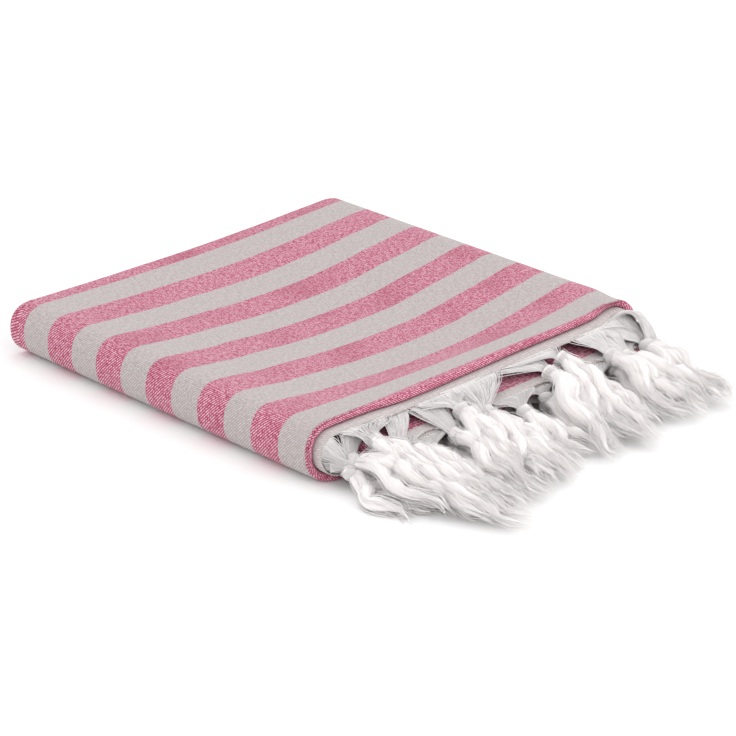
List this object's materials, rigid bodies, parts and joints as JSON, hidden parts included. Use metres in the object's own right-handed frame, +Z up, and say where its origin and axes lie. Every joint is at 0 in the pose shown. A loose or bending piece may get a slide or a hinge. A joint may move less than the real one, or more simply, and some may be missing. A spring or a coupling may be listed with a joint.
{
  "type": "beach towel",
  "caption": "Flat-woven striped beach towel with a knotted fringe on both ends, folded back and forth into a flat square pack, with the fringe spread out along one side.",
  "frame": {"origin": "on the flat underside of the folded cloth, in the middle of the pack without its fringe", "axes": "+X along the stripes, from the big rounded fold to the open edges; -Y towards the fringe; +Z up, so the pack stands on z = 0"},
  "size_m": [0.307, 0.4183, 0.0418],
  "materials": {
    "towel_cloth": "matt woven cotton",
    "fringe_first_end": "matt loosely twisted cotton",
    "fringe_second_end": "matt loosely twisted cotton"
  },
  "bodies": {
    "root": {"towel_cloth": "towel_cloth", "fringe_first_end": "fringe_first_end", "fringe_second_end": "fringe_second_end"}
  },
  "joints": []
}
